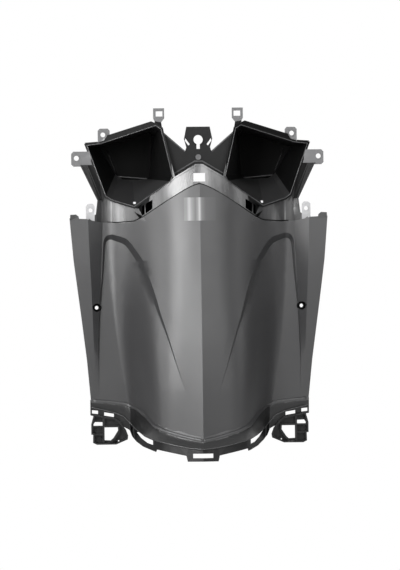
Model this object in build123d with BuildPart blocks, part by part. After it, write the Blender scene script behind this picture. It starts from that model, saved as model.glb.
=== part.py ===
from build123d import *
from math import atan, cos, hypot, pi, tan
import os

# Scooter inner panel: one moulded shell, seen from the rider's side.
# X is to the right, Y is away from the rider and Z is up along the panel.
# The origin is midway between the two side screw seats, on their seat face.
# One half is drawn for X above 0 and is mirrored at the end. Sizes are in millimetres.

# Walls
wall = 2.5
shelf_step = 8.0
shelf_bead = 1.5

# Shield: the ridge over the steering column, the flanks, the wings and the raised side bands
panel_top = 232.0
panel_bottom = -250.0
peak_z = 195.5
foot_z = -160.0
ridge_top_y = -65.0
ridge_foot_y = -103.0
valley_top = 150.0
valley_narrowing = 36.0
wing_y = -5.0
wing_sweep = 22.0
wing_sweep_z = 20.0
band_start_top = 153.0
band_start_low = 161.0
band_end_top = 177.5
band_end_low = 169.5
band_rise = 15.0
band_foot_rise = 0.4
band_fade_z = -135.0
side_x = 225.0
mass_back_y = 80.0
shield_corner_z = 143.4

# Lobes: hollows pressed into the two flanks, deepest at the top
lobe_depth = 11.0
lobe_end_z = -135.0
lobe_top_z = 117.4

# Side screws
screw_x = 164.4
screw_hole_radius = 3.0
screw_seat_radius = 6.5
screw_boss_radius = 9.0
screw_boss_length = 12.0

# Pockets: their mouths lie in a plane that falls back towards the sides
mouth_x = 46.0
mouth_y = -46.0
mouth_slope = 0.4
pocket_back_y = 92.0
rim_bead = 0.7
rim_depth = 4.5
rim_band_step = 3.5
drain_x = 102.2
drain_z = 165.5
drain_width = 4.0
drain_height = 3.5

# Bridge between the pockets, with its tongue
bridge_y = -30.0
bridge_wall = 3.0
bead_height = 1.6
key_z = 266.9
key_radius = 7.45
key_slot = 2.7
key_slot_length = 14.7
boss_z = 239.0
boss_radius = 4.4

# Fixing tabs: X and Z of each hole, and its radius
side_tab_hole = (194.3, 239.9, 4.0)
upper_tab_hole = (151.5, 276.9, 3.8)
ear_hole = (172.8, 156.0, 3.2)
tab_ring = 1.5
tab_ring_height = 0.8

# Foot: the lip below the shield flares out a little and then rolls back; the corner brackets
lip_flare = 2.4
lip_return = 4.0
bracket_depth = 16.0

# Heights of the level sections through the shield, and the spans of a flank's curve in each
heights = [panel_bottom, -170.0, -90.0, 10.0, 120.0, panel_top]
span_count = 8
even_steps = [i / span_count for i in range(span_count + 1)]


def limited(value):
    """The value, held between 0 and 1."""
    return min(max(value, 0.0), 1.0)


def drop(z):
    """How far down the shield a height lies, from 0 at the peak to 1 at the foot."""
    return limited((peak_z - z) / (peak_z - foot_z))


def wing(z):
    """Y of the wings, which sweep away from the rider low down."""
    return wing_y + wing_sweep * limited((wing_sweep_z - z) / (wing_sweep_z - foot_z)) ** 2


def ridge(z):
    """Y of the ridge line."""
    return ridge_foot_y + (ridge_top_y - ridge_foot_y) * (1 - drop(z)) ** 1.5


def valley(z):
    """Distance from the ridge to the valley between flank and wing."""
    return valley_top - valley_narrowing * drop(z) ** 2


def flank(s, z):
    """Height of a flank: 1 at the softly creased ridge and 0 in the valley, fuller low down."""
    power = 1.45 + 1.8 * drop(z) ** 2.5
    return 0.85 * 0.5 * (1 + cos(pi * s ** power)) + 0.15 * (1 - s) ** 2


def band(z):
    """Start, end and rise of the side band, which fades out low down."""
    low = limited((shield_corner_z - z) / 200)
    fade = limited((z - band_fade_z) / 170)
    start = band_start_top + (band_start_low - band_start_top) * low
    end = band_end_top + (band_end_low - band_end_top) * low
    return start, end, band_foot_rise + (band_rise - band_foot_rise) * fade ** 2 * (3 - 2 * fade)


def front(x, z):
    """Y of the shield's front face."""
    if x < valley(z):
        return wing(z) - (wing(z) - ridge(z)) * flank(x / valley(z), z)
    start, end, height = band(z)
    return wing(z) - height * limited((x - start) / (end - start))


def spread(x, z):
    """Length along Y that one millimetre of wall takes on the slope at a place."""
    low = max(x - 1, 0)
    return hypot(1, (front(x + 1, z) - front(low, z)) / (x + 1 - low))


def mass(depth, sink=0.0):
    """All that lies a depth behind the shield's face; sink lowers it more towards the lobes' top."""
    with BuildPart() as body:
        for z in heights:
            low = sink * (z - lobe_end_z) / (lobe_top_z - lobe_end_z)
            side = [
                (valley(z) * s, front(valley(z) * s, z) + depth * spread(valley(z) * s, z) + low)
                for s in even_steps
            ]
            flat = wing(z) + depth + low
            start, end, height = band(z)
            shift = depth * tan(atan(height / (end - start)) / 2)
            side[-1] = (side[-1][0], flat)
            with BuildSketch(Plane.XY.offset(z)):
                with BuildLine():
                    add(Edge.make_spline(side, parameters=even_steps))
                    Polyline(
                        side[-1],
                        (start + shift, flat),
                        (end + shift, flat - height),
                        (side_x, flat - height),
                        (side_x, mass_back_y),
                        (0, mass_back_y),
                        side[0],
                    )
                make_face()
        loft()
    return body.part


def block(front_y, back_y, *runs):
    """An outline seen from the front, carried from one Y to another."""
    with BuildPart() as body:
        with BuildSketch(Plane.XZ.offset(-back_y)):
            with BuildLine():
                for kind, points in runs:
                    kind(*points)
            make_face()
        extrude(amount=back_y - front_y)
    return body.part


def plate(front_y, back_y, *points):
    """A straight-sided outline carried from one Y to another."""
    return block(front_y, back_y, (Polyline, [*points, points[0]]))


def shell(front_mass, behind_mass, *runs):
    """The wall between two of the masses, as far as a front outline reaches."""
    with BuildPart() as body:
        add(front_mass)
        add([behind_mass], mode=Mode.SUBTRACT)
        add(block(-160, 160, *runs), mode=Mode.INTERSECT)
    return body.part


def mouth(x):
    """Y of the pocket's mouth plane."""
    return mouth_y + mouth_slope * (x - mouth_x)


# Outlines, seen from the front
top_edge = [
    (0, peak_z),
    (10, 192.3),
    (24, 185.3),
    (63.2, 161),
    (89.6, 143.4),
    (104, 137),
    (131, 135.3),
    (155, 136.6),
    (178.8, 142.1),
]
outer_edge = [(206.6, shield_corner_z), (200.8, 74.6), (188.6, -21.4), (180.8, -85), (174.9, -149.8)]
# Foot: X, height of the fold, height of the lip's lower edge
foot = [
    (0, -213.1, -226.7),
    (20, -209, -224.9),
    (40, -203.6, -221.2),
    (58, -197.8, -216.8),
    (70, -192.3, -213.8),
    (80, -185.2, -210.6),
    (88, -175.5, -207),
    (96, -167.2, -202.2),
    (104, -161.5, -196),
    (112, -157.8, -187.5),
    (122, -155, -176.5),
    (136, -153, -170),
    (155, -151.2, -165),
    (174.9, -149.8, -160.6),
]
fold = [(x, z) for x, z, lip in foot]
# Lobe: X, Z on the face, and how far its wall moves sideways and up for each millimetre back
lobe_rim = [
    (22.7, -142.2, 0.4, 0),
    (42.2, -83.8, 0.45, -0.1),
    (60.8, -21.4, 0.5, -0.15),
    (70.7, 14.1, 0.5, -0.2),
    (85.8, 61, 0.5, -0.3),
    (94.4, 81.1, 0.45, -0.45),
    (110.6, 104.3, 0.3, -0.7),
    (124.2, 113, 0.15, -0.8),
    (138.4, 117.4, 0, -0.8),
]
lobe_shoulder = [(138.4, 117.4, 0, -0.8), (149, 113.5, -0.3, -0.6), (153.2, 100, -0.35, -0.2)]
lobe_side = [
    (153.2, 100, -0.35, -0.2),
    (155.7, 52.2, -0.35, 0),
    (160, 5.8, -0.35, 0),
    (161.9, -35.8, -0.35, 0),
    (161.8, -142.2, -0.35, 0),
]


def lobe_block(grow):
    """The lobe's outline carried back with slanting walls that narrow it, so that they show."""

    def at(points, y):
        return [
            (x + lean_x * (y - front(x, z)), z + lean_z * (y - front(x, z)))
            for x, z, lean_x, lean_z in points
        ]

    def grown(points):
        return [
            (
                x - grow * lean_x / hypot(lean_x, lean_z),
                z - grow * lean_z / hypot(lean_x, lean_z),
                lean_x,
                lean_z,
            )
            for x, z, lean_x, lean_z in points
        ]

    with BuildPart() as body:
        for y in (-125, 20):
            with BuildSketch(Plane.XZ.offset(-y)):
                with BuildLine():
                    rim = at(grown(lobe_rim), y)
                    shoulder = at(grown(lobe_shoulder), y)
                    side = at(grown(lobe_side), y)
                    add(Edge.make_spline([Vector(*p) for p in rim], parameters=even_steps))
                    add(Edge.make_spline([Vector(*p) for p in shoulder], parameters=[0, 0.5, 1]))
                    Polyline(*side, rim[0])
                make_face()
        loft(ruled=True)
    return body.part


face_mass = mass(0)
back_mass = mass(wall)
bead_mass = mass(shelf_step - shelf_bead)
shelf_mass = mass(shelf_step)
shelf_back_mass = mass(shelf_step + wall)
edge_mass = mass(shelf_step + wall / 2)

# Shield wall with the lobes pressed into it, and with walls that turn back along its top and side
with BuildPart() as lobe_cut:
    add(lobe_block(0))
    add(mass(0, lobe_depth), mode=Mode.SUBTRACT)
with BuildPart() as lobe_bulge:
    add(lobe_block(wall))
    add(mass(wall, lobe_depth), mode=Mode.SUBTRACT)
with BuildPart() as hollow:
    add(back_mass)
    add(lobe_bulge.part, mode=Mode.SUBTRACT)
    add(
        block(
            -170,
            170,
            (Spline, [(x, z - wall) for x, z in top_edge]),
            (
                Polyline,
                [
                    (top_edge[-1][0], top_edge[-1][1] - wall),
                    (outer_edge[0][0] - wall, outer_edge[0][1] - wall),
                    *[(x - wall, z) for x, z in outer_edge[1:]],
                    (outer_edge[-1][0] - wall, panel_bottom - 10),
                    (-1, panel_bottom - 10),
                    (-1, peak_z - wall),
                    (0, peak_z - wall),
                ],
            ),
        ),
        mode=Mode.INTERSECT,
    )
with BuildPart() as behind:
    add(edge_mass)
    add(lobe_bulge.part, mode=Mode.SUBTRACT)
with BuildPart() as shield:
    add(face_mass)
    add([lobe_cut.part, hollow.part, behind.part], mode=Mode.SUBTRACT)
    add(
        block(
            -160,
            160,
            (Spline, top_edge),
            (Polyline, [top_edge[-1], *outer_edge]),
            (Spline, fold[::-1]),
            (Line, [fold[0], top_edge[0]]),
        ),
        mode=Mode.INTERSECT,
    )

# Recessed shelf above the shield, with a wall that runs back from its upper edge to the bridge
bridge_foot = [(0, 227.2), (5.6, 227.2), (40, 206.9), (50, 196.5)]
shelf = shell(
    shelf_mass,
    shelf_back_mass,
    (
        Polyline,
        [
            *[(x, z - 1.3 * wall) for x, z in top_edge],
            top_edge[-1],
            (172.3, 144.2),
            (164.2, 149.6),
            (161.4, 172),
            (150, 176),
            (103, 172),
            (60, 210),
            *bridge_foot[::-1],
            (0, peak_z - 1.3 * wall),
        ],
    ),
)
with BuildPart() as bridge_step:
    add(
        plate(
            -100,
            bridge_y + bridge_wall / 2,
            *bridge_foot,
            *[(x, z - 1.1 * wall) for x, z in bridge_foot[::-1]],
        )
    )
    add(bead_mass, mode=Mode.INTERSECT)
# Two sunken clip pockets in the shelf, shared out by a rib
with BuildPart() as clip_box:
    add(plate(-70, 4, (71.5, 142), (94, 142), (94, 165), (71.5, 176)))
    add(edge_mass, mode=Mode.INTERSECT)
clip_cut = [
    plate(-90, 0, (74.4, 157), (84.9, 150), (84.9, 165.2), (74.4, 171.8)),
    plate(-90, 0, (86.6, 149), (90.6, 146.3), (90.6, 161.8), (86.6, 164.3)),
]

# Foot: the wall flares out towards the fold, rolls over it and falls back to the lip's edge
with BuildPart() as lip:
    for x, z_fold, z_lip in foot:
        y = front(x, z_fold)
        y_edge = front(x, z_lip) + lip_return * min(spread(x, z_lip), 2.2)
        unit = min(spread(x, z_fold), 2.2)
        fall = z_fold - z_lip
        web = y + (shelf_step + 1) * unit
        with BuildSketch(Plane.YZ.offset(x)):
            with BuildLine():
                Spline(
                    (y + 0.3 * unit, z_fold + 9),
                    (y - 0.1 * lip_flare * unit, z_fold + 5),
                    (y - 0.6 * lip_flare * unit, z_fold + 1),
                    (y - lip_flare * unit, z_fold - 0.2 * fall),
                    (y - 0.2 * lip_flare * unit, z_fold - 0.62 * fall),
                    (y_edge, z_lip),
                )
                Polyline(
                    (y_edge, z_lip),
                    (y_edge + wall * unit, z_lip),
                    (y + 0.6 * wall * unit, z_fold - 0.45 * fall),
                    (web, z_fold - 0.5),
                    (web, z_fold + 2.5),
                    (y + 1.6 * unit, z_fold + 2.5),
                    (y + 1.6 * unit, z_fold + 9),
                    (y + 0.3 * unit, z_fold + 9),
                )
            make_face()
    loft(ruled=True)

# Flange that hangs behind the lip, with its slots
flange = shell(
    shelf_mass,
    shelf_back_mass,
    (
        Polyline,
        [
            *[(x, z + 2) for x, z in fold[:-1]],
            (176, -148),
            (176, -173),
            (155, -178.5),
            (137, -181.5),
            (126.5, -190),
            (113, -197.5),
            (109, -208),
            (102.5, -216),
            (92.5, -223.5),
            (73.5, -230.5),
            (72.2, -226.5),
            (50, -231.3),
            (26.5, -236.4),
            (24.5, -245.6),
            (0, -245.6),
            (0, fold[0][1] + 2),
        ],
    ),
)
slots = [
    plate(-150, 60, (-1, -233), (16, -233), (16, -240), (-1, -240)),
    plate(
        -150,
        60,
        (78, -212.5),
        (78, -219.5),
        (86, -217),
        (95, -210),
        (101.5, -201.2),
        (98.5, -200.6),
        (90, -207.5),
    ),
    plate(-30, 60, (138.2, -170.9), (153.8, -168.3), (153.8, -173.6), (138.2, -176.2)),
    plate(-30, 60, (163.7, -165.6), (173.4, -164.7), (173.4, -169.9), (163.7, -171)),
]

# Bracket at the lower corner: a plate with a rim all round, ledges and a large opening
bracket_outline = [
    (119, -197),
    (128, -184),
    (137, -178),
    (155, -175),
    (171, -171),
    (171, -174.6),
    (174.7, -187.4),
    (174.7, -204.1),
    (171.7, -204.1),
    (172.1, -217.3),
    (166.1, -220.3),
    (135, -220.2),
    (116.5, -212.3),
    (115.7, -206.2),
]
bracket_y = wing(foot_z) + shelf_step - 0.35 * bracket_depth
with BuildPart() as bracket:
    with BuildSketch(Plane.XZ.offset(-bracket_y - bracket_depth)):
        with BuildLine():
            Polyline(*bracket_outline, close=True)
        make_face()
    extrude(amount=bracket_depth)
    with BuildSketch(Plane.XZ.offset(-bracket_y - bracket_depth + wall)):
        with BuildLine():
            Polyline(*bracket_outline, close=True)
        make_face()
        offset(amount=-2.2, kind=Kind.INTERSECTION)
    extrude(amount=bracket_depth, mode=Mode.SUBTRACT)
    for post in (
        [(153.5, -177), (156.5, -177), (156.5, -217), (153.5, -217)],
        [(155, -190), (173, -190), (173, -192.4), (155, -192.4)],
        [(155, -203), (172, -203), (172, -205.4), (155, -205.4)],
        [(129.5, -190), (155, -190), (155, -192.6), (129.5, -192.6)],
        [
            (129.5, -191),
            (132, -191),
            (131.6, -199),
            (139, -210),
            (143, -214),
            (142, -216),
            (136, -211),
            (129, -200),
        ],
    ):
        add(plate(bracket_y + 3, bracket_y + bracket_depth, *post))
    with Locations(Plane.XZ.offset(-bracket_y - bracket_depth)):
        with Locations((131, -214.5)):
            Cylinder(2.6, bracket_depth - 2, align=(Align.CENTER, Align.CENTER, Align.MIN))
            Cylinder(1.2, 2 * bracket_depth, mode=Mode.SUBTRACT)
    add(
        plate(
            bracket_y - 5,
            bracket_y + bracket_depth + 5,
            (153.5, -192.6),
            (132, -192.6),
            (131.6, -198.2),
            (139, -209.8),
            (143.4, -213.8),
            (153.5, -213.4),
        ),
        mode=Mode.SUBTRACT,
    )
    add(
        plate(
            bracket_y - 5,
            bracket_y + bracket_depth + 5,
            (156.5, -184.4),
            (168.5, -184),
            (171, -187.5),
            (171, -190),
            (156.5, -190),
        ),
        mode=Mode.SUBTRACT,
    )

# Pocket corners: X and Z at the mouth, then X and Z at the back
corners = [
    ((59.5, 284.3), (70, 277)),
    ((68.3, 289.9), (75, 282)),
    ((155, 262.9), (146, 260)),
    ((177.3, 260.5), (155.5, 258)),
    ((148, 178.9), (130, 216)),
    ((140, 173.1), (124, 210.8)),
    ((103.2, 161.1), (102, 206.5)),
    ((46.1, 200.6), (79, 207.5)),
    ((42.1, 208.2), (74.5, 213)),
]
pocket_front_y = mouth_y - 35


def pocket_block(grow, back_y):
    """The pocket's hollow, or its outside when grown by the wall."""
    with BuildPart() as body:
        for y in (pocket_front_y, back_y):
            shares = [(y - mouth(near[0])) / (pocket_back_y - mouth(near[0])) for near, far in corners]
            with BuildSketch(Plane.XZ.offset(-y)):
                with BuildLine():
                    Polyline(
                        *[
                            (near[0] + (far[0] - near[0]) * share, near[1] + (far[1] - near[1]) * share)
                            for (near, far), share in zip(corners, shares)
                        ],
                        close=True,
                    )
                make_face()
                if grow > 0:
                    offset(amount=grow, kind=Kind.INTERSECTION)
        loft(ruled=True)
    return body.part


def mouth_block(front_step, back_step):
    """The slab between two planes that lie given distances behind the mouth plane."""
    with BuildPart() as body:
        with BuildSketch(Plane.XY.offset(shield_corner_z - 10)):
            with BuildLine():
                Polyline(
                    (0, mouth(0) + front_step),
                    (side_x, mouth(side_x) + front_step),
                    (side_x, mouth(side_x) + back_step),
                    (0, mouth(0) + back_step),
                    close=True,
                )
            make_face()
        extrude(amount=200)
    return body.part


cavity = pocket_block(0, pocket_back_y)
with BuildPart() as pocket:
    add(pocket_block(wall, pocket_back_y + wall))
    add(mouth_block(-200, 0), mode=Mode.SUBTRACT)
with BuildPart() as rim:
    add(pocket_block(wall + rim_bead, pocket_back_y))
    add(mouth_block(0, rim_depth), mode=Mode.INTERSECT)
with BuildPart() as rim_band:
    add(
        plate(
            -90,
            60,
            (68, 286),
            (155, 259),
            (176, 257),
            (180.5, 265),
            (154, 266.5),
            (145, 276),
            (75, 297),
            (65, 292.5),
        )
    )
    add(mouth_block(rim_band_step, rim_band_step + wall), mode=Mode.INTERSECT)
drain = plate(
    mouth(103),
    40,
    (drain_x - drain_width / 2, drain_z),
    (drain_x + drain_width / 2, drain_z),
    (drain_x + drain_width / 2, drain_z + drain_height),
    (drain_x - drain_width / 2, drain_z + drain_height),
)

# Bridge plate with its tongue, keyhole, slits and edge beads
v_notch = [(58, 281.5), (52, 276.2), (23, 251), (20.8, 249.1)]
tongue = [(19, 255), (22.7, 268), (18.7, 287.7), (0, 287.7)]
with BuildPart() as bridge:
    add(
        plate(
            bridge_y,
            bridge_y + bridge_wall,
            (0, 224),
            (5.6, 224),
            (40, 203),
            (50, 198),
            (66, 215),
            (66, 284),
            *v_notch,
            *tongue,
        )
    )
    notch_bead = [*v_notch[::-1], (58, 278.5), (52, 273.4), (21.5, 246.9)]
    lower_bead = [(0, 233.5), (6.5, 233.5), (48, 209), (48, 206.7), (5.9, 231.6), (0, 231.6)]
    add(plate(bridge_y - bead_height, bridge_y, *notch_bead))
    add(plate(bridge_y - bead_height, bridge_y, *lower_bead))
    with Locations(Plane.XZ.offset(-bridge_y)):
        with Locations((0, boss_z)):
            Cylinder(boss_radius, 3.5, align=(Align.CENTER, Align.CENTER, Align.MIN))
        with Locations((0, key_z)):
            Cylinder(key_radius + 1.6, bead_height, align=(Align.CENTER, Align.CENTER, Align.MIN))
            Cylinder(key_radius, 6 * bridge_wall, mode=Mode.SUBTRACT)
    with Locations(Plane.XZ.offset(-bridge_y + 3.5)):
        with Locations((0, boss_z)):
            Cylinder(boss_radius - 2, 2.4, mode=Mode.SUBTRACT)
    slot_end = key_z - key_slot_length
    key_cut = [(-1, key_z), (key_slot, key_z), (key_slot, slot_end), (-1, slot_end)]
    slit_cut = [(13.4, 259.6), (15.8, 257.6), (21.3, 265.4), (20.6, 269.6)]
    add(
        [plate(bridge_y - 9, bridge_y + 9, *cut) for cut in (key_cut, slit_cut)],
        mode=Mode.SUBTRACT,
    )
    split(bisect_by=Plane.YZ, keep=Keep.TOP)


in_front = (Align.CENTER, Align.CENTER, Align.MIN)


def tab(front_y, hole, *outline):
    """A fixing tab drawn round its screw hole, with a raised ring; the outline counts from the hole."""
    hole_x, hole_z, hole_radius = hole
    with BuildPart() as body:
        add(plate(front_y, front_y + wall, *[(hole_x + x, hole_z + z) for x, z in outline]))
        with Locations(Plane.XZ.offset(-front_y)):
            with Locations((hole_x, hole_z)):
                Cylinder(hole_radius + tab_ring, tab_ring_height, align=in_front)
                Cylinder(hole_radius, 4 * wall, mode=Mode.SUBTRACT)
    return body.part


side_tab = tab(
    mouth(172) - 0.4,
    side_tab_hole,
    (-34.3, -13.4),
    (4.7, -13.4),
    (8.3, -9.9),
    (8.3, 7.1),
    (4.7, 10.7),
    (-26.3, 10.7),
)
upper_tab = tab(
    mouth(150) + rim_band_step,
    upper_tab_hole,
    (-10.9, -14.9),
    (8.2, -14.9),
    (8.2, 6.6),
    (5, 10),
    (-7.9, 10),
    (-10.9, 6.6),
)
ear = tab(
    front(173, 140) + shelf_step + 1,
    ear_hole,
    (-6.6, -21),
    (7.2, -21),
    (7.2, 7),
    (3.7, 10.7),
    (-3.1, 10.7),
    (-6.6, 7),
)
buckle_y = mouth(60) + rim_band_step
buckle = plate(
    buckle_y,
    buckle_y + 1.2 * wall,
    (57, 282),
    (69, 284),
    (69.5, 297),
    (71.7, 301),
    (71.7, 317.4),
    (54.1, 317.4),
    (54.1, 301),
    (59, 295),
)
window_outline = [(56.8, 304.3), (67.6, 304.3), (67.6, 312.6), (56.8, 312.6)]
buckle_window = plate(buckle_y - 9, buckle_y + 9, *window_outline)

# Wing strip beside the pocket, with two lengthwise ribs and a small stop on the shield's corner
strip_y = wing_y + shelf_step
strip = plate(strip_y, strip_y + wall, (140, 150), (163.9, 150), (161.4, 172), (188.7, 229), (150, 229))
outer_rib = [(161.9, 150), (163.9, 150), (161.4, 172), (188.7, 229), (186.3, 229), (159, 172)]
inner_rib = [(152.8, 172), (154.6, 172), (178.6, 229), (176.6, 229)]
strip_ribs = [plate(strip_y - 4, strip_y, *outer_rib), plate(strip_y - 2, strip_y, *inner_rib)]
corner_y = front(195, shield_corner_z)
stop = plate(corner_y + 1.2, corner_y + 4, (191, 140), (206, 140), (205.5, 149), (196, 149.5), (192, 146))

# Screw seat with its boss behind the wall
behind_seat = (Align.CENTER, Align.CENTER, Align.MAX)
with BuildPart() as seat:
    with Locations(Plane.XZ):
        with Locations((screw_x, 0)):
            Cylinder(screw_boss_radius, wall, align=behind_seat)
            Cylinder(2 * screw_hole_radius, screw_boss_length, align=behind_seat)
with BuildPart() as seat_cut:
    with Locations(Plane.XZ):
        with Locations((screw_x, 0)):
            Cylinder(screw_seat_radius, 30, align=(Align.CENTER, Align.CENTER, Align.MIN))
            Cylinder(screw_hole_radius, 60)

# The half panel: every piece joined in one step, then every hollow and hole cut
shelf_window = [(-1, 199.5), (9.4, 199.5), (9.4, 213), (-1, 213)]
with BuildPart() as half:
    add(
        [
            shield.part,
            shelf,
            bridge_step.part,
            clip_box.part,
            lip.part,
            flange,
            bracket.part,
            pocket.part,
            rim.part,
            rim_band.part,
            bridge.part,
            side_tab,
            upper_tab,
            ear,
            buckle,
            strip,
            *strip_ribs,
            stop,
            seat.part,
        ],
        clean=False,
    )
    add(
        [
            cavity,
            drain,
            buckle_window,
            seat_cut.part,
            *clip_cut,
            *slots,
            plate(-150, bridge_y - 5, *shelf_window),
        ],
        clean=False,
        mode=Mode.SUBTRACT,
    )

with BuildPart() as inner_panel:
    add([half.part, mirror(half.part, about=Plane.YZ, mode=Mode.PRIVATE)], clean=False)

inner_panel.part.label = "inner_panel"
os.makedirs("parts", exist_ok=True)
export_step(inner_panel.part, "parts/inner_panel.step")
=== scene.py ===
import math

import bpy
import numpy as np
from mathutils import Matrix, Vector


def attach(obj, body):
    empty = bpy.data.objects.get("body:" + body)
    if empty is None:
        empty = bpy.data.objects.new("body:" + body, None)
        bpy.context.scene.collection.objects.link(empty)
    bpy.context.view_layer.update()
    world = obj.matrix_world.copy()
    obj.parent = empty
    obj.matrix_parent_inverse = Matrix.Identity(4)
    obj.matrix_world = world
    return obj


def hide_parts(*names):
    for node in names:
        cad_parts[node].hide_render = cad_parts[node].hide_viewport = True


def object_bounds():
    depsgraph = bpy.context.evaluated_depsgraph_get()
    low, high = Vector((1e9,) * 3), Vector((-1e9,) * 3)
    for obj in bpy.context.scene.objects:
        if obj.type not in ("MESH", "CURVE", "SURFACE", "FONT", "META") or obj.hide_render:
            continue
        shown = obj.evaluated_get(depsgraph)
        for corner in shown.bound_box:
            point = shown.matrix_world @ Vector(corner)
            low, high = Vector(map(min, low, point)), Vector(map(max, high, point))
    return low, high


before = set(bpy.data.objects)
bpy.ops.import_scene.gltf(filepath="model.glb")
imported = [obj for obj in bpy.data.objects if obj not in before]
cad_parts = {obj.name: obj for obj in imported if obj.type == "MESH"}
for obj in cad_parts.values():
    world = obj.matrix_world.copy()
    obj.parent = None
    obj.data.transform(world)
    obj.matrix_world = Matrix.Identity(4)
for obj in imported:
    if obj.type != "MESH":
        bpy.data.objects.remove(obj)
cad_box = [list(corner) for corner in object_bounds()]
scene = bpy.context.scene

# The panel's outlines, seen from the front, are in millimetres and hold its right half; X is the
# distance from the middle.
# The shield's upper edge
SHIELD_TOP_X = [0, 10, 24, 63.2, 89.6, 104, 131, 155, 178.8, 206.6]
SHIELD_TOP_Z = [195.5, 192.3, 185.3, 161, 143.4, 137, 135.3, 136.6, 142.1, 143.4]
SHIELD_TOP_Y = [-67.9, -67.2, -64.2, -50.8, -43, -39.5, -28, -11, 0, 0]
# The fold above the lip
FOLD_X = [0, 30, 58, 76, 90, 104, 122, 150, 175]
FOLD_Z = [-213.1, -206.2, -197.8, -188.6, -172.6, -161.5, -155, -151.7, -149.8]
# The lower edge of the lip
LIP_X = [0, 20, 40, 58, 70, 80, 88, 96, 104, 112, 122, 136, 155, 174]
LIP_Z = [-226.7, -224.9, -221.2, -216.8, -213.8, -210.6, -207, -202.2, -196, -187.5, -176.5, -170, -165,
         -160.6]
# The mouth of a pocket, as X and Z, and its middle
MOUTH = [(59.5, 284.3), (68.3, 289.9), (155, 262.9), (177.3, 260.5), (148, 178.9), (140, 173.1),
         (103.2, 161.1), (46.1, 200.6), (42.1, 208.2)]
POCKET_X, POCKET_Z = 107, 235
# The mouths lie in a plane that falls back towards the sides: its Y at an X near the middle, and
# how far it falls back for each millimetre outwards
MOUTH_INNER_X, MOUTH_INNER_Y, MOUTH_FALL = 46, -46, 0.4
# The lines on a pocket's rear wall: their Y, and the ends of the floor's and of the corner's line
REAR_LINE_Y = 91.6
FLOOR_LINE_X, FLOOR_LINE_Z = (75.5, 127), (207.6, 212.1)
CORNER_LINE_X, CORNER_LINE_Z = (127.5, 143), (214, 254)
# The raised edges of the bridge between the pockets, as X and Z, and the Y range of their faces
NOTCH_EDGE = [(58, 281.5), (52, 276.2), (23, 251), (20.8, 249.1), (21.5, 246.9), (52, 273.4), (58, 278.5)]
LOWER_EDGE = [(-1, 233.5), (6.5, 233.5), (48, 209), (48, 206.7), (5.9, 231.6), (-1, 231.6)]
RAISED_Y = (-34, -30.2)
# The boss in the middle of the bridge: its height, its radius, and a plane just behind its face
BOSS_Z, BOSS_R, BOSS_BACK_Y = 239.0, 5.5, -30.5
# The screw seats in the flanks, at the height of the origin: their X and the radius of painted shadow
SCREW_X, SEAT_R = 164.4, 6.9

# Boxes round the regions with a finish of their own, in millimetres: limits of the distance from
# the middle, of Y and of Z, where FAR is beyond the panel
FAR = 1000
ANY = (-FAR, FAR)
ARM_BOX = (146, FAR), ANY, (168, 262)
BRIDGE_BOX = (-FAR, 66), (-40, -26), (197, FAR)
CLIP_OPENING_BOX = (68, 96), (-FAR, 12), (138, 166)
POCKET_BACK_BOX = (40, FAR), ANY, (150, FAR)
RIM_BOX = (42, FAR), ANY, (158, FAR)
BUCKLE_BOX = (-FAR, 75), ANY, (296, FAR)
UPPER_TAB_BOX = (139, 161), (-3, 3), (267, FAR)
SIDE_TAB_BOX = (176, FAR), (2, 8), (224, 252)
EAR_TAB_BOX = (165, 181), (-11, -4), (142, 168)
# Distances that part the regions, in millimetres: the shelf from the shield's upper edge
SHELF_BELOW, SHELF_ABOVE, SHELF_BEHIND = 3.2, 2, 4
# The lip from the fold, and the foot from the lip's lower edge
LIP_BELOW, FOOT_ABOVE = 2.5, 1.2
# From the mouths' plane: where a hollow starts in front of it, and the back and the clip opening behind
HOLLOW_AHEAD, BACK_BEHIND, OPENING_BEHIND = 0.3, 8, 1
# The rim's middle behind that plane, half its depth, and its reach round the mouth
RIM_BEHIND, RIM_HALF_DEPTH, RIM_REACH = 2, 3.6, 13
# A pocket's rear wall starts this far in front of its lines
REAR_WALL_AHEAD = 1.6
# Parts of a face's normal that tell which way it faces: Y from the front to the back, Z up
LOOKS_AHEAD, LOOKS_TO_FRONT, RIM_TO_BACK, LOOKS_UP = 0.05, -0.5, 0.6, 0.66

# The camera, in metres and degrees, and the height that the picture takes in at the panel
VIEW_DISTANCE, VIEW_HEIGHT = 8.0, 0.912
VIEW_AZIMUTH, VIEW_ELEVATION, VIEW_ROLL = -2.4, 0.0, -0.65
VIEW_AIM = Vector((0.0008, -0.02, 0.0346))
SENSOR_SIZE = 36.0
# What the lamps point at, the light from all round, and the floor
LAMP_AIM = Vector((0, 0, 0.03))
SURROUND_STRENGTH = 0.05
FLOOR_Z, FLOOR_REACH, FLOOR_GREY = -0.42, 4, 0.86

# The plastic's patterns, as scales on metres: fine grain, slow drift, and streaks that run upright
GRAIN_SCALE = 1900.0
DRIFT_SCALE = 11.0
STREAK_SCALE = (42.0, 42.0, 7.0)
# The grain's depth in metres, the usual range of a noise, and the pale colour mixed in as painted
# reflection
GRAIN_DEPTH = 0.00008
NOISE_LOW, NOISE_HIGH = 0.25, 0.75
PAINTED_REFLECTION_GREY = (0.62, 0.62, 0.625, 1)
# The rectangle of painted reflection under the shield's peak, in metres: half its width, its height
# range as a middle and a half, and the Y that its face lies in front of
PATCH_HALF_WIDTH = 0.026
PATCH_Z, PATCH_HALF_HEIGHT = 0.1555, 0.0185
PATCH_BACK_Y = -0.052
# How strong the painted reflection is across its width: a share of the width, and the strength there
PATCH_BANDS = [
    (0.0, 0.0), (0.02, 0.09), (0.1, 0.16), (0.17, 0.62), (0.24, 0.3), (0.36, 0.07),
    (0.44, 0.3), (0.49, 0.75), (0.55, 0.22), (0.68, 0.05), (0.97, 0.02), (1.0, 0.0)]
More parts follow.
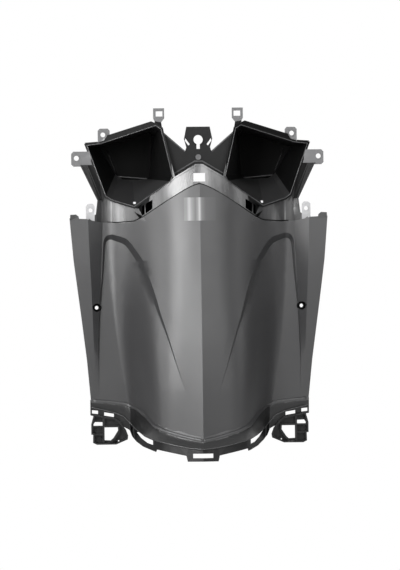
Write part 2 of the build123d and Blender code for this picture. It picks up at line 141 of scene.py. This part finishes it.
# The shelf's painted reflection from the middle outwards: a share of its reach, and its strength there
SHELF_REACH = 0.2
SHELF_BANDS = [
    (0.0, 0.3), (0.3, 0.16), (0.5, 0.03), (0.58, 0.05), (0.605, 0.3), (0.64, 0.45), (0.67, 0.1),
    (0.69, 0.08), (0.697, 0.85), (0.706, 0.08), (0.78, 0.02), (1.0, 0.04)]
# Fine marks in the shelf's painted reflection: a range of the streaks' noise, and the factor at its ends
MARK_NOISE, MARK_FACTOR = (0.36, 0.68), (0.15, 1.7)

# Edges where the faces turn by more than this are sharp, in degrees
SHARP_ANGLE = 24
# So is the crease down the middle up to this height, and so are the edges between these heights
# above the fold, where the roll over it starts, in millimetres
CREASE_TOP = 200
ROLL_START = (3, 8.5)
# Millimetres between the points of a bead on the shield or the lip, and where the shelf's seam ends
BEAD_STEP = 4
SEAM_END_X = 147


def towards(azimuth, elevation):
    """Unit vector from the panel to a place round it.

    The azimuth runs from the front to the right and the elevation up from level, in degrees: sine
    and minus cosine of the azimuth, times the elevation's cosine, and the elevation's sine."""
    side, rise = math.radians(azimuth), math.radians(elevation)
    return Vector((math.sin(side) * math.cos(rise), -math.cos(side) * math.cos(rise), math.sin(rise)))


def camera():
    """Long lens in front of the panel, a touch to its left, with the small tilt of the picture.

    The lens is the sensor's size times the distance, over the height that the picture takes in."""
    data = bpy.data.cameras.new("camera")
    data.sensor_width = SENSOR_SIZE
    data.lens = SENSOR_SIZE * VIEW_DISTANCE / VIEW_HEIGHT
    data.clip_start, data.clip_end = 0.1, 100.0
    view = bpy.data.objects.new("camera", data)
    scene.collection.objects.link(view)
    back = towards(VIEW_AZIMUTH, VIEW_ELEVATION)
    view.location = VIEW_AIM + back * VIEW_DISTANCE
    turn = (-back).to_track_quat("-Z", "Y").to_matrix().to_4x4()
    roll = Matrix.Rotation(math.radians(VIEW_ROLL), 4, "Z")
    view.matrix_world = Matrix.Translation(view.location) @ turn @ roll
    scene.camera = view


def node(tree, kind, inputs=None, **settings):
    """A shader node with its settings, and its inputs given as values or as sockets to link."""
    made = tree.nodes.new(kind)
    for name, value in settings.items():
        setattr(made, name, value)
    for name, value in (inputs or {}).items():
        if isinstance(value, bpy.types.NodeSocket):
            tree.links.new(value, made.inputs[name])
        else:
            made.inputs[name].default_value = value
    return made


def worked_out(tree, operation, *values, **settings):
    """The result of a Math node on numbers or sockets."""
    inputs = dict(enumerate(values))
    return node(tree, "ShaderNodeMath", inputs, operation=operation, **settings).outputs[0]


def blank(name):
    """A material with no nodes yet, and its node tree."""
    material = bpy.data.materials.new(name)
    material.use_nodes = True
    material.node_tree.nodes.clear()
    return material, material.node_tree


def surround():
    """Weak even light from all round, which the camera and clear pieces see as white."""
    world = bpy.data.worlds.new("surround")
    scene.world = world
    world.use_nodes = True
    tree = world.node_tree
    tree.nodes.clear()
    path = node(tree, "ShaderNodeLightPath").outputs
    seen = worked_out(tree, "MAXIMUM", path["Is Camera Ray"], path["Is Transmission Ray"])
    strength = node(tree, "ShaderNodeMapRange", {"Value": seen, "To Min": SURROUND_STRENGTH, "To Max": 1.0})
    sky = node(tree, "ShaderNodeBackground", {"Color": (1, 1, 1, 1), "Strength": strength.outputs[0]})
    out = node(tree, "ShaderNodeOutputWorld")
    tree.links.new(sky.outputs[0], out.inputs[0])


def lamp(name, azimuth, elevation, distance, size, power):
    """A square lamp at a distance from the panel's middle, turned towards it."""
    data = bpy.data.lights.new(name, "AREA")
    data.shape, data.size, data.energy = "SQUARE", size, power
    made = bpy.data.objects.new(name, data)
    scene.collection.objects.link(made)
    place = LAMP_AIM + distance * towards(azimuth, elevation)
    made.location = place
    made.rotation_mode = "QUATERNION"
    made.rotation_quaternion = (LAMP_AIM - place).to_track_quat("-Z", "Y")


def pale_floor():
    """A large level square below the panel, matt to the light and plain white to the camera."""
    material, tree = blank("pale_floor")
    path = node(tree, "ShaderNodeLightPath").outputs
    matt = node(tree, "ShaderNodeBsdfDiffuse", {"Color": (FLOOR_GREY, FLOOR_GREY, FLOOR_GREY, 1)})
    white = node(tree, "ShaderNodeEmission", {"Color": (1, 1, 1, 1), "Strength": 1.0})
    mix = node(tree, "ShaderNodeMixShader",
               {0: path["Is Camera Ray"], 1: matt.outputs[0], 2: white.outputs[0]})
    out = node(tree, "ShaderNodeOutputMaterial")
    tree.links.new(mix.outputs[0], out.inputs[0])
    corners = [(-1, -1), (1, -1), (1, 1), (-1, 1)]
    mesh = bpy.data.meshes.new("floor")
    mesh.from_pydata([(x * FLOOR_REACH, y * FLOOR_REACH, FLOOR_Z) for x, y in corners], [], [(0, 1, 2, 3)])
    mesh.materials.append(material)
    ground = bpy.data.objects.new("floor", mesh)
    scene.collection.objects.link(ground)


def studio():
    """A soft key in front, a little to the left and above, with weaker lamps round the panel.

    Powers are in watts, sizes and distances in metres, angles in degrees as in towards()."""
    scene.view_settings.view_transform = "Standard"
    surround()
    lamp("key", azimuth=-28, elevation=14, distance=2.6, size=1.0, power=36)
    lamp("front_right", azimuth=20, elevation=15, distance=3.0, size=1.2, power=14)
    lamp("left_side", azimuth=-64, elevation=13, distance=3.0, size=1.2, power=20)
    lamp("right_side", azimuth=64, elevation=16, distance=3.0, size=1.2, power=7)
    lamp("top", azimuth=-8, elevation=48, distance=2.4, size=0.8, power=6)
    lamp("back_fill", azimuth=160, elevation=35, distance=3.0, size=1.4, power=60)
    pale_floor()


def ramp(tree, value, stops):
    """Grey levels along a value that runs from 0 to 1; each stop is a place and its level."""
    made = node(tree, "ShaderNodeValToRGB", {"Fac": value})
    marks = made.color_ramp.elements
    marks[0].position, marks[1].position = stops[0][0], stops[-1][0]
    for where, level in stops[1:-1]:
        marks.new(where)
    for mark, (where, level) in zip(marks, stops):
        mark.color = (level, level, level, 1)
    return made.outputs["Color"]


def flow_streaks(tree, place):
    """Noise drawn out upright, as the plastic flowed in the mould."""
    drawn = node(tree, "ShaderNodeMapping", {"Vector": place, "Scale": STREAK_SCALE}).outputs[0]
    return node(tree, "ShaderNodeTexNoise", {"Vector": drawn, "Scale": 1.0, "Detail": 3.0}).outputs[0]


def plastic(name, colour, rough, grain, streaks=0.0, specular=0.5, sheen=None):
    """Moulded plastic: fine grain as bump, and roughness between two values that drifts.

    The drift is a slow noise plus a share of the upright streaks. sheen takes the tree and the
    place, and gives how much pale colour is mixed in at each point as painted reflection, from 0 to 1."""
    material, tree = blank(name)
    place = node(tree, "ShaderNodeTexCoord").outputs["Object"]
    slow = node(tree, "ShaderNodeTexNoise", {"Vector": place, "Scale": DRIFT_SCALE, "Detail": 3.0})
    drift = worked_out(tree, "MULTIPLY_ADD", flow_streaks(tree, place), streaks, slow.outputs[0])
    roughness = node(tree, "ShaderNodeMapRange", {
        "Value": drift, "From Min": NOISE_LOW, "From Max": NOISE_HIGH + streaks,
        "To Min": rough[0], "To Max": rough[1]})
    fine = node(tree, "ShaderNodeTexNoise", {"Vector": place, "Scale": GRAIN_SCALE, "Detail": 1.0})
    bump = node(tree, "ShaderNodeBump",
                {"Strength": grain, "Distance": GRAIN_DEPTH, "Height": fine.outputs[0]})
    shade = node(tree, "ShaderNodeBsdfPrincipled", {
        "Base Color": (*colour, 1),
        "Roughness": roughness.outputs[0],
        "Specular IOR Level": specular,
        "Normal": bump.outputs[0],
    })
    # Painted reflection: the pale colour mixed into the base colour where sheen asks for it
    if sheen:
        tone = node(tree, "ShaderNodeMix", {"Factor": sheen(tree, place), 6: (*colour, 1), 7: PAINTED_REFLECTION_GREY},
                    data_type="RGBA")
        tree.links.new(tone.outputs[2], shade.inputs["Base Color"])
    out = node(tree, "ShaderNodeOutputMaterial")
    tree.links.new(shade.outputs[0], out.inputs[0])
    return material


def patch_painted_reflection(tree, place):
    """The rectangle under the shield's peak, with two upright bright bands of painted reflection.

    The bands' strength across the width, times one inside the height range and in front, else zero."""
    split = node(tree, "ShaderNodeSeparateXYZ", {0: place}).outputs
    across = node(tree, "ShaderNodeMapRange", {
        "Value": split["X"], "From Min": -PATCH_HALF_WIDTH, "From Max": PATCH_HALF_WIDTH}).outputs[0]
    level = worked_out(tree, "COMPARE", split["Z"], PATCH_Z, PATCH_HALF_HEIGHT)
    front = worked_out(tree, "LESS_THAN", split["Y"], PATCH_BACK_Y)
    held = worked_out(tree, "MULTIPLY", level, front)
    return worked_out(tree, "MULTIPLY", held, ramp(tree, across, PATCH_BANDS))


def shelf_painted_reflection(tree, place):
    """Upright marks of painted reflection: bands by the distance from the middle, times the fine streaks.
    """
    split = node(tree, "ShaderNodeSeparateXYZ", {0: place}).outputs
    out = worked_out(tree, "DIVIDE", worked_out(tree, "ABSOLUTE", split["X"]), SHELF_REACH)
    fine = node(tree, "ShaderNodeMapRange", {
        "Value": flow_streaks(tree, place), "From Min": MARK_NOISE[0], "From Max": MARK_NOISE[1],
        "To Min": MARK_FACTOR[0], "To Max": MARK_FACTOR[1]}).outputs[0]
    return worked_out(tree, "MULTIPLY", fine, ramp(tree, out, SHELF_BANDS), use_clamp=True)


def finishes():
    """One plastic for each kind of surface, in the order of the panel's material slots."""
    return {
        # The shield's two pale upright bands under its peak are painted reflection
        "shield": plastic("satin_shield", (0.045, 0.045, 0.0465), rough=(0.37, 0.43), grain=0.35,
                          specular=1.0, sheen=patch_painted_reflection),
        "back": plastic("dull_back", (0.03, 0.03, 0.031), rough=(0.46, 0.56), grain=0.35, specular=0.6),
        # The shelf's pale upright bands are painted reflection
        "shelf": plastic("shelf_with_painted_reflection", (0.035, 0.035, 0.036), rough=(0.2, 0.34), grain=0.1,
                         streaks=1.0, specular=1.0, sheen=shelf_painted_reflection),
        "arm": plastic("dark_arm", (0.02, 0.02, 0.0205), rough=(0.3, 0.42), grain=0.15, streaks=0.6),
        # Pocket walls: black plastic, darkened further as painted shade deep in the hollow
        "pocket": plastic("black_pocket_painted_shade", (0.006, 0.006, 0.0062), rough=(0.45, 0.6), grain=0.2,
                          specular=0.3),
        # The pocket floor is paler than the walls because it faces up to the light: painted light
        "pocket_floor_painted_light": plastic("pocket_floor_painted_light", (0.05, 0.05, 0.051), rough=(0.4, 0.5), grain=0.2,
                                specular=0.8),
        # Painted shadow: a black put where recesses and edges lie in shade
        "painted_shadow": plastic("shadow_black", (0.003, 0.003, 0.003), rough=(0.6, 0.7), grain=0.1, specular=0.1),
        "rim": plastic("pocket_rim", (0.004, 0.004, 0.0041), rough=(0.42, 0.5), grain=0.1, specular=0.2),
        # Thin edges and lines: real beads, made pale as painted highlight
        "bead": plastic("edge_painted_highlight", (0.1, 0.1, 0.102), rough=(0.22, 0.3), grain=0.05, specular=1.0),
        "bridge": plastic("dark_bridge", (0.008, 0.008, 0.0082), rough=(0.36, 0.46), grain=0.2,
                          specular=0.4),
        # The lip under the fold faces down; its darker colour is painted shade
        "lip": plastic("lip_painted_shade", (0.016, 0.016, 0.0165), rough=(0.34, 0.44), grain=0.3, specular=0.7),
        # The flange and brackets below the lip are darkened as painted shade under its overhang
        "foot": plastic("foot_painted_shade", (0.012, 0.012, 0.0125), rough=(0.3, 0.4), grain=0.2, specular=0.6),
        # The tabs and the boss are black plastic made pale as painted reflection
        "tab": plastic("tab_painted_reflection", (0.2, 0.2, 0.204), rough=(0.24, 0.34), grain=0.1, specular=0.8),
        # The ear tab is paler still, as painted reflection
        "ear_tab_painted_reflection": plastic("ear_tab_painted_reflection", (0.6, 0.6, 0.61), rough=(0.24, 0.34), grain=0.1, specular=0.8),
    }


def between(value, limits):
    """Which values lie between two limits."""
    return (value > limits[0]) & (value < limits[1])


def sides_of(outline):
    """The sides of a closed outline, each as the X and Z of its two ends."""
    return zip(outline, outline[1:] + outline[:1])


def inside(x, z, outline):
    """Which points lie inside a closed outline: an odd number of its sides pass to their right."""
    odd = np.zeros(len(x), bool)
    for (x0, z0), (x1, z1) in sides_of(outline):
        if z0 == z1:
            continue
        crosses = (z0 > z) != (z1 > z)
        odd ^= crosses & (x < x0 + (z - z0) * (x1 - x0) / (z1 - z0))
    return odd


def gap_to(x, z, outline):
    """How far points lie from a closed outline: the least distance to any of its sides."""
    best = np.full(len(x), np.inf)
    for (x0, z0), (x1, z1) in sides_of(outline):
        along = ((x - x0) * (x1 - x0) + (z - z0) * (z1 - z0)) / ((x1 - x0) ** 2 + (z1 - z0) ** 2)
        along = np.clip(along, 0, 1)
        best = np.minimum(best, np.hypot(x - x0 - along * (x1 - x0), z - z0 - along * (z1 - z0)))
    return best


def mouth_y(x):
    """Y of the pockets' mouth plane at a distance from the middle, in millimetres."""
    return MOUTH_INNER_Y + MOUTH_FALL * (x - MOUTH_INNER_X)


def corners_of(data):
    """The places of a mesh's vertices, one row each, and the vertex at each corner of its triangles."""
    place = np.empty(len(data.vertices) * 3, np.float32)
    data.vertices.foreach_get("co", place)
    corner = np.empty(len(data.loops), np.int32)
    data.loops.foreach_get("vertex_index", corner)
    return place.reshape(-1, 3).astype(float), corner.reshape(-1, 3)


def merged(data):
    """Places and triangles of a mesh of loose triangles, once each place is kept only once.

    Places that agree to a thousandth of a millimetre are one, and a triangle that then has two
    corners alike is left out."""
    place, faces = corners_of(data)
    keys = np.round(place * 1e6).astype(np.int64)
    first, back = np.unique(keys, axis=0, return_index=True, return_inverse=True)[1:]
    faces = back.reshape(-1)[faces]
    whole = (faces != np.roll(faces, -1, axis=1)).all(1)
    return place[first], faces[whole]


def finish_of_faces(place, faces, names):
    """The number of each face's finish, from where its middle lies and which way it faces.

    X is the distance from the panel's middle, and a later rule goes over an earlier one. A face
    of a hollow belongs to the pocket if it faces the pocket's middle or the front."""
    middle = place[faces].mean(1) * 1000
    facing = np.cross(place[faces[:, 1]] - place[faces[:, 0]], place[faces[:, 2]] - place[faces[:, 0]])
    facing /= np.maximum(np.linalg.norm(facing, axis=1), 1e-15)[:, None]
    x, y, z = np.abs(middle[:, 0]), middle[:, 1], middle[:, 2]
    mouth = mouth_y(x)
    ahead = facing[:, 1] < LOOKS_AHEAD
    kind = np.full(len(faces), names.index("shield"), np.int32)

    def finish(name, where):
        kind[where] = names.index(name)

    def boxed(box):
        return between(x, box[0]) & between(y, box[1]) & between(z, box[2])

    finish("back", ~ahead)
    edge_z = np.interp(x, SHIELD_TOP_X, SHIELD_TOP_Z)
    edge_y = np.interp(x, SHIELD_TOP_X, SHIELD_TOP_Y)
    off_shield = (y > edge_y + SHELF_BEHIND) | (z > edge_z + SHELF_ABOVE)
    finish("shelf", (z > edge_z - SHELF_BELOW) & off_shield & ahead)
    finish("arm", boxed(ARM_BOX) & ahead & ~inside(x, z, MOUTH))
    finish("bridge", boxed(BRIDGE_BOX) & ahead)
    raised = between(y, RAISED_Y) & ahead
    # The bridge's raised edges are made pale as painted highlight
    finish("bead", raised & (inside(x, z, NOTCH_EDGE) | inside(x, z, LOWER_EDGE)))
    # The boss is made pale as painted reflection
    finish("tab", (np.hypot(x, z - BOSS_Z) < BOSS_R) & (y < BOSS_BACK_Y) & ahead)

    hollow = (y > mouth - HOLLOW_AHEAD) & inside(x, z, MOUTH)
    inward = (POCKET_X - x) * facing[:, 0] * np.sign(middle[:, 0]) + (POCKET_Z - z) * facing[:, 2]
    pocket = hollow & ((inward > 0) | (facing[:, 1] < LOOKS_TO_FRONT))
    finish("back", hollow & ~pocket)
    behind = boxed(POCKET_BACK_BOX) & (y > mouth + BACK_BEHIND) & (facing[:, 1] > LOOKS_TO_FRONT)
    finish("back", behind & ~pocket)
    # Painted shadow inside the clip opening
    finish("painted_shadow", boxed(CLIP_OPENING_BOX) & (y > mouth + OPENING_BEHIND) & ahead)
    # The pocket's walls get painted shade and its upward-facing floor painted light, one plastic in two
    # tones
    finish("pocket", pocket)
    finish("pocket_floor_painted_light", pocket & (facing[:, 2] > LOOKS_UP))
    # Painted shadow on the pocket's rear wall
    finish("painted_shadow", pocket & (y > REAR_LINE_Y - REAR_WALL_AHEAD) & ahead)
    rim = boxed(RIM_BOX) & (np.abs(y - mouth - RIM_BEHIND) < RIM_HALF_DEPTH) & (facing[:, 1] < RIM_TO_BACK)
    finish("rim", rim & ~pocket & (gap_to(x, z, MOUTH) < RIM_REACH))

    # Painted shade on the downward-facing lip below the fold
    finish("lip", (z < np.interp(x, FOLD_X, FOLD_Z) - LIP_BELOW) & ahead)
    # Painted shade on the flange and brackets below the lip
    finish("foot", (z < np.interp(x, LIP_X, LIP_Z) + FOOT_ABOVE) & ahead)
    # Painted shadow on the screw seats' faces
    finish("painted_shadow", np.hypot(x - SCREW_X, z) < SEAT_R)
    # The tabs are made pale as painted reflection
    finish("tab", boxed(BUCKLE_BOX) | boxed(UPPER_TAB_BOX) | boxed(SIDE_TAB_BOX))
    finish("ear_tab_painted_reflection", boxed(EAR_TAB_BOX))
    return kind


def mark_sharp(mesh, place):
    """Sharp edges: where the faces turn much, down the middle, and where the roll starts.

    An edge counts for the last two when both its ends lie in the range."""
    mesh.set_sharp_from_angle(angle=math.radians(SHARP_ANGLE))
    ends = np.empty(len(mesh.edges) * 2, np.int32)
    mesh.edges.foreach_get("vertices", ends)
    ends = place[ends].reshape(-1, 2, 3) * 1000
    x, z = np.abs(ends[:, :, 0]), ends[:, :, 2]
    crease = ((x < 0.1) & (z < CREASE_TOP)).all(1)
    roll = between(z - np.interp(x, FOLD_X, FOLD_Z), ROLL_START).all(1)
    sharp = np.empty(len(mesh.edges), bool)
    marks = mesh.attributes["sharp_edge"].data
    marks.foreach_get("value", sharp)
    marks.foreach_set("value", sharp | crease | roll)


def dressed_panel(looks):
    """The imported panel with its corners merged, smooth over curves, and each face given its finish."""
    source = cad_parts["inner_panel"]
    place, faces = merged(source.data)
    mesh = bpy.data.meshes.new("moulded_panel")
    mesh.from_pydata(place.tolist(), [], faces.tolist())
    for look in looks.values():
        mesh.materials.append(look)
    mesh.polygons.foreach_set("use_smooth", np.ones(len(faces), bool))
    mesh.polygons.foreach_set("material_index", finish_of_faces(place, faces, list(looks)))
    mark_sharp(mesh, place)
    mesh.update()
    panel = bpy.data.objects.new("moulded_panel", mesh)
    even = panel.modifiers.new("even_sheen", "WEIGHTED_NORMAL")
    even.keep_sharp, even.weight = True, 80
    scene.collection.objects.link(panel)
    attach(panel, "root")
    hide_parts("inner_panel")
    return panel


def front_of(panel, x, z):
    """Y of the panel's front face at points seen from the front, in millimetres; infinite beside it.

    Each point is laid on every triangle that holds it, by its shares of the corners, and the
    front-most hit counts."""
    place, faces = corners_of(panel.data)
    a, b, c = (place[faces[:, which]] * 1000 for which in range(3))
    px, pz = x[:, None], z[:, None]

    def turn(p, q):
        return (q[:, 0] - p[:, 0]) * (pz - p[:, 2]) - (q[:, 2] - p[:, 2]) * (px - p[:, 0])

    over_c, over_a, over_b = turn(a, b), turn(b, c), turn(c, a)
    total = over_a + over_b + over_c
    total[np.abs(total) < 1e-9] = np.inf
    shares = np.stack([over_a, over_b, over_c]) / total
    depth = shares[0] * a[:, 1] + shares[1] * b[:, 1] + shares[2] * c[:, 1]
    held = (shares >= -1e-9).all(0) & np.isfinite(total)
    return np.where(held, depth, np.inf).min(1)


def lengths(rows):
    """The length of each row, as a column."""
    return np.linalg.norm(rows, axis=1)[:, None]


def across_path(path, closed):
    """The level direction across a path at each point, longer at a bend so that the width holds.

    It is the cross product of the way along, halfway between the two steps that meet there, and
    the way to the front, over the cosine of half the bend, and never more than twice as long."""
    ahead = np.roll(path, -1, 0) - path
    behind = path - np.roll(path, 1, 0)
    if not closed:
        ahead[-1], behind[0] = behind[-1], ahead[0]
    ahead /= lengths(ahead)
    behind /= lengths(behind)
    along = ahead + behind
    along /= lengths(along)
    across = np.cross(along, (0, -1, 0))
    across /= lengths(across)
    return across / np.maximum(np.abs((along * ahead).sum(1)), 0.5)[:, None]


def bead(name, path, width, height, look, closed=False):
    """A thin line of plastic with a flat oval section that follows a path on the panel, and its mirror.

    Each ring of points is the path's point, plus half the width times the cosine across the path,
    plus the height times the sine towards the front; the path is given in millimetres."""
    sides = 8
    angle = np.arange(sides) * 2 * math.pi / sides
    rings = (path[:, None]
             + across_path(path, closed)[:, None] * (width / 2 * np.cos(angle))[None, :, None]
             + np.array((0.0, -1.0, 0.0)) * (height * np.sin(angle))[None, :, None])
    points = rings.reshape(-1, 3) / 1000
    count = len(path)
    ring, step = np.meshgrid(np.arange(count if closed else count - 1), np.arange(sides), indexing="ij")
    ring, step = ring.ravel() * sides, step.ravel()
    after, beside = (ring + sides) % len(points), (step + 1) % sides
    faces = np.stack([ring + step, ring + beside, after + beside, after + step], 1).tolist()
    if not closed:
        faces += [list(range(sides))[::-1], list(range((count - 1) * sides, count * sides))]
    mirrored = [[corner + len(points) for corner in face[::-1]] for face in faces]
    mesh = bpy.data.meshes.new(name)
    mesh.from_pydata(np.vstack([points, points * (-1, 1, 1)]).tolist(), [], faces + mirrored)
    mesh.polygons.foreach_set("use_smooth", np.ones(len(mesh.polygons), bool))
    mesh.materials.append(look)
    mesh.update()
    made = bpy.data.objects.new(name, mesh)
    scene.collection.objects.link(made)
    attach(made, "root")


def evenly(x, z, step):
    """Points at even steps along a line through the given ones."""
    run = np.concatenate([[0], np.cumsum(np.hypot(np.diff(x), np.diff(z)))])
    at = np.linspace(0, run[-1], max(2, int(run[-1] / step)))
    return np.interp(at, run, x), np.interp(at, run, z)


def mouth_edges(look):
    """The edge round each pocket's mouth, a little in front of the mouth's plane, pale as painted
    highlight.
    """
    x, z = np.array(MOUTH).T
    lead = 0.1
    bead("mouth_edges", np.column_stack([x, mouth_y(x) - lead, z]), width=1.2, height=0.6, look=look,
         closed=True)


def rear_line(name, ends_x, ends_z, step, width, height, look):
    """A straight line on a pocket's rear wall between two ends seen from the front."""
    x, z = evenly(ends_x, ends_z, step)
    bead(name, np.column_stack([x, np.full(len(x), REAR_LINE_Y), z]), width, height, look)


def screw_seat_painted_shadows(look):
    """A ring of painted shadow round each side screw's seat: points at even angles on a circle."""
    count, radius, inset, depth = 24, 5.4, 0.8, -0.6
    turn = np.arange(count) * 2 * math.pi / count
    x, z = SCREW_X - inset + radius * np.cos(turn), radius * np.sin(turn)
    bead("screw_seat_painted_shadows", np.column_stack([x, np.full(count, depth), z]), width=3.2, height=0.6, look=look,
         closed=True)


def front_bead(name, panel, line, probe, rise, sink, width, height, look):
    """A bead laid on the panel's front face along a line seen from the front.

    The face's Y is taken at the probe's height above the line. The path runs the rise above the
    line and the sink behind that face, but nowhere so far forward that the bead would leave the
    panel's box, and its points with no panel behind them are left out."""
    x, z = line
    clearance = 0.05
    face = front_of(panel, x, z + probe)
    front = cad_box[0][1] * 1000 + height + clearance
    path = np.column_stack([x, np.maximum(face + sink, front), z + rise])
    bead(name, path[np.isfinite(face)], width, height, look)


def seam_line():
    """The shield's upper edge, from the middle to where the flank begins."""
    x, z = evenly(SHIELD_TOP_X, SHIELD_TOP_Z, BEAD_STEP)
    before = x < SEAM_END_X
    return x[before], z[before]


camera()
studio()
looks = finishes()
panel = dressed_panel(looks)
mouth_edges(looks["bead"])
# The floor lines are pale beads: a painted highlight where the floor meets the rear wall
rear_line("pocket_floor_lines", FLOOR_LINE_X, FLOOR_LINE_Z, step=6, width=2.0, height=0.8,
          look=looks["bead"])
rear_line("pocket_corner_lines", CORNER_LINE_X, CORNER_LINE_Z, step=8, width=1.6, height=0.6,
          look=looks["bridge"])
# A strip of painted shadow on the shelf along the shield's upper edge
front_bead("shelf_edge_painted_shadow", panel, seam_line(), probe=1.6, rise=1.0, sink=0, width=1.7, height=0.5,
           look=looks["painted_shadow"])
screw_seat_painted_shadows(looks["painted_shadow"])
front_bead("fold_roll", panel, evenly(FOLD_X, FOLD_Z, BEAD_STEP), probe=-1.0, rise=0.3, sink=0.35,
           width=6.0, height=1.25, look=looks["shield"])
# The lip's lower edge is a pale bead: a painted highlight
front_bead("lip_edge", panel, evenly(LIP_X, LIP_Z, BEAD_STEP), probe=1.0, rise=0.7, sink=0,
           width=1.3, height=0.5, look=looks["bead"])
